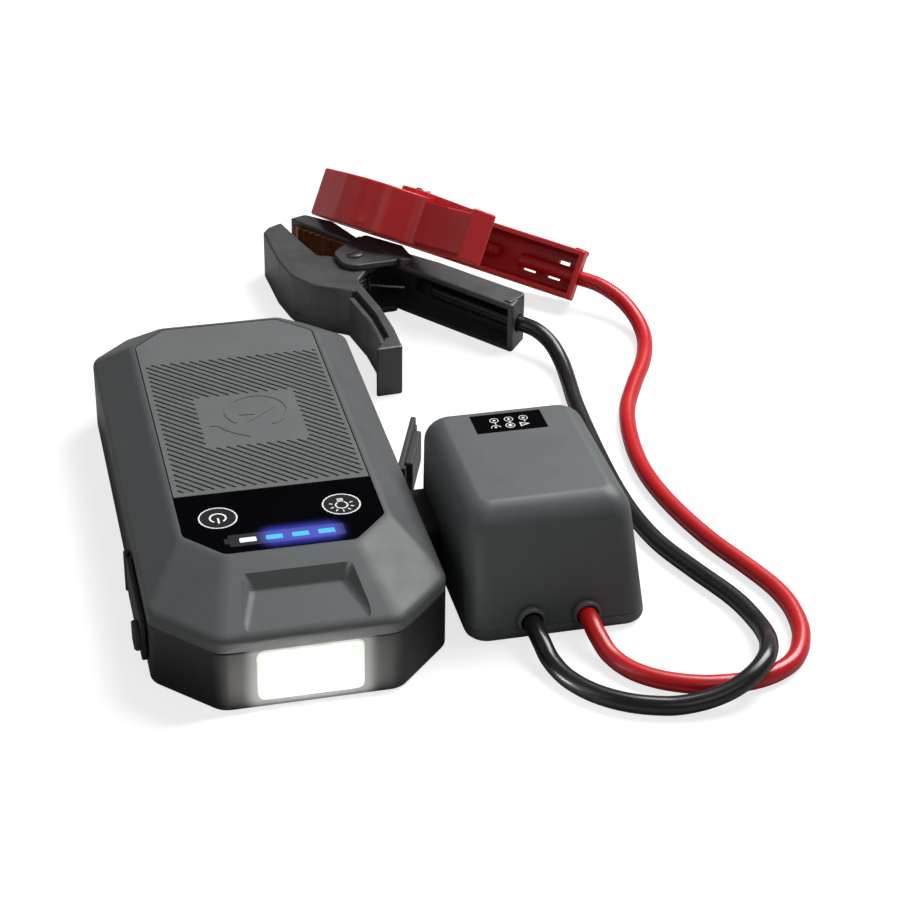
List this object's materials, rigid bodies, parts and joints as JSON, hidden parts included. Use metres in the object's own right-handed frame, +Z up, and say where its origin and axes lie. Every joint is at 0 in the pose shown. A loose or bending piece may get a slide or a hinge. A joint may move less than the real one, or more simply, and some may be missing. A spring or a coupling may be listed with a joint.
{
  "type": "jump starter pack",
  "caption": "Car battery jump starter: slim power pack with lamp, buttons and charging pad, plug-in control box, and red and black cables with spring clamps.",
  "frame": {"origin": "centre of the pack's underside, on the surface it stands on", "axes": "+X from the pack's middle towards the jump socket and the control box, +Y away from the lamp towards the pack's rear, +Z up"},
  "size_m": [0.2204, 0.355, 0.0599],
  "materials": {
    "case_black": "fine moulded texture",
    "shell_grey": "fine moulded texture",
    "pad_grey": "satin with moulded grooves",
    "panel_gloss": "polished",
    "button_dark": "satin with printed ring",
    "gauge_lit": "lit light guide",
    "lamp_lit": "frosted, lit",
    "board_green": "solder mask",
    "cell_foil": "laminated foil",
    "coil_copper": "enamelled",
    "shield_grey": "ferrite sheet",
    "socket_blue": "moulded",
    "port_steel": "stamped",
    "flap_rubber": "matt rubber",
    "screw_steel": "zinc plated",
    "label_black": "printed film",
    "relay_black": "moulded",
    "plug_black": "moulded",
    "pin_brass": "plated",
    "cable_black": "glossy PVC sheath",
    "cable_red": "glossy PVC sheath",
    "grip_black": "satin moulded",
    "grip_red": "satin moulded",
    "contact_copper": "copper plated, satin",
    "spring_steel": "drawn wire"
  },
  "bodies": {
    "pack": {"lower_case": "case_black", "top_cover": "shell_grey", "charging_pad": "pad_grey", "control_panel": "panel_gloss", "gauge_windows": "gauge_lit", "gauge_leds": "lamp_lit", "control_board": "board_green", "lamp_window": "lamp_lit", "lamp_board": "board_green", "main_board": "board_green", "battery_cells": "cell_foil", "charging_coil": "coil_copper", "coil_shield": "shield_grey", "jump_socket": "socket_blue", "usb_ports": "port_steel", "case_screws": "screw_steel"},
    "power_button": {"power_button": "button_dark"},
    "light_button": {"light_button": "button_dark"},
    "usb_cover": {"usb_port_cover": "flap_rubber"},
    "jump_cover": {"jump_port_cover": "flap_rubber"},
    "jump_lead": {"box_base": "shell_grey", "box_cover": "shell_grey", "box_label": "label_black", "box_board": "board_green", "box_relays": "relay_black", "bus_bars": "contact_copper", "box_screws": "screw_steel", "plug_housing": "plug_black", "plug_pins": "pin_brass", "cable_grommets": "flap_rubber", "black_cable": "cable_black", "red_cable": "cable_red", "black_cable_handle": "grip_black", "black_cable_contact": "contact_copper", "black_cable_rivet": "screw_steel", "black_pivot_pin": "screw_steel", "black_spring": "spring_steel", "black_cable_lug": "contact_copper", "red_cable_handle": "grip_red", "red_cable_contact": "contact_copper", "red_cable_rivet": "screw_steel", "red_pivot_pin": "screw_steel", "red_spring": "spring_steel", "red_cable_lug": "contact_copper"},
    "black_thumb": {"black_thumb_handle": "grip_black", "black_thumb_contact": "contact_copper", "black_thumb_rivet": "screw_steel"},
    "red_thumb": {"red_thumb_handle": "grip_red", "red_thumb_contact": "contact_copper", "red_thumb_rivet": "screw_steel"}
  },
  "joints": [
    {"name": "power_press", "type": "slide", "parent": "pack", "child": "power_button", "axis": [0, 0, -1], "range_m": [0, 0.0006], "stiffness_N_per_m": 900, "springref_m": -0.0003},
    {"name": "light_press", "type": "slide", "parent": "pack", "child": "light_button", "axis": [0, 0, -1], "range_m": [0, 0.0006], "stiffness_N_per_m": 900, "springref_m": -0.0003},
    {"name": "usb_cover_hinge", "type": "hinge", "parent": "pack", "child": "usb_cover", "pos_m": [-0.0474, -0.035, 0.0125], "axis": [0, 0, -1], "range_deg": [0, 110]},
    {"name": "jump_cover_hinge", "type": "hinge", "parent": "pack", "child": "jump_cover", "pos_m": [0.0477, -0.005, 0.014], "axis": [0, 0, 1], "range_deg": [-60, 12]},
    {"name": "plug_slide", "type": "slide", "parent": "pack", "child": "jump_lead", "axis": [1, 0, 0], "range_m": [0, 0.022]},
    {"name": "black_jaw", "type": "hinge", "parent": "jump_lead", "child": "black_thumb", "pos_m": [0.064, 0.156, 0.01], "axis": [0, 0, 1], "range_deg": [0, 30], "stiffness_Nm_per_rad": 1.5, "springref_deg": -20.05, "deforming": ["black_spring"]},
    {"name": "red_jaw", "type": "hinge", "parent": "jump_lead", "child": "red_thumb", "pos_m": [0.09212, 0.17747, 0.02462], "axis": [0.4024, 0.3465, 0.8474], "range_deg": [0, 30], "stiffness_Nm_per_rad": 1.5, "springref_deg": -20.05, "deforming": ["red_spring"]}
  ]
}
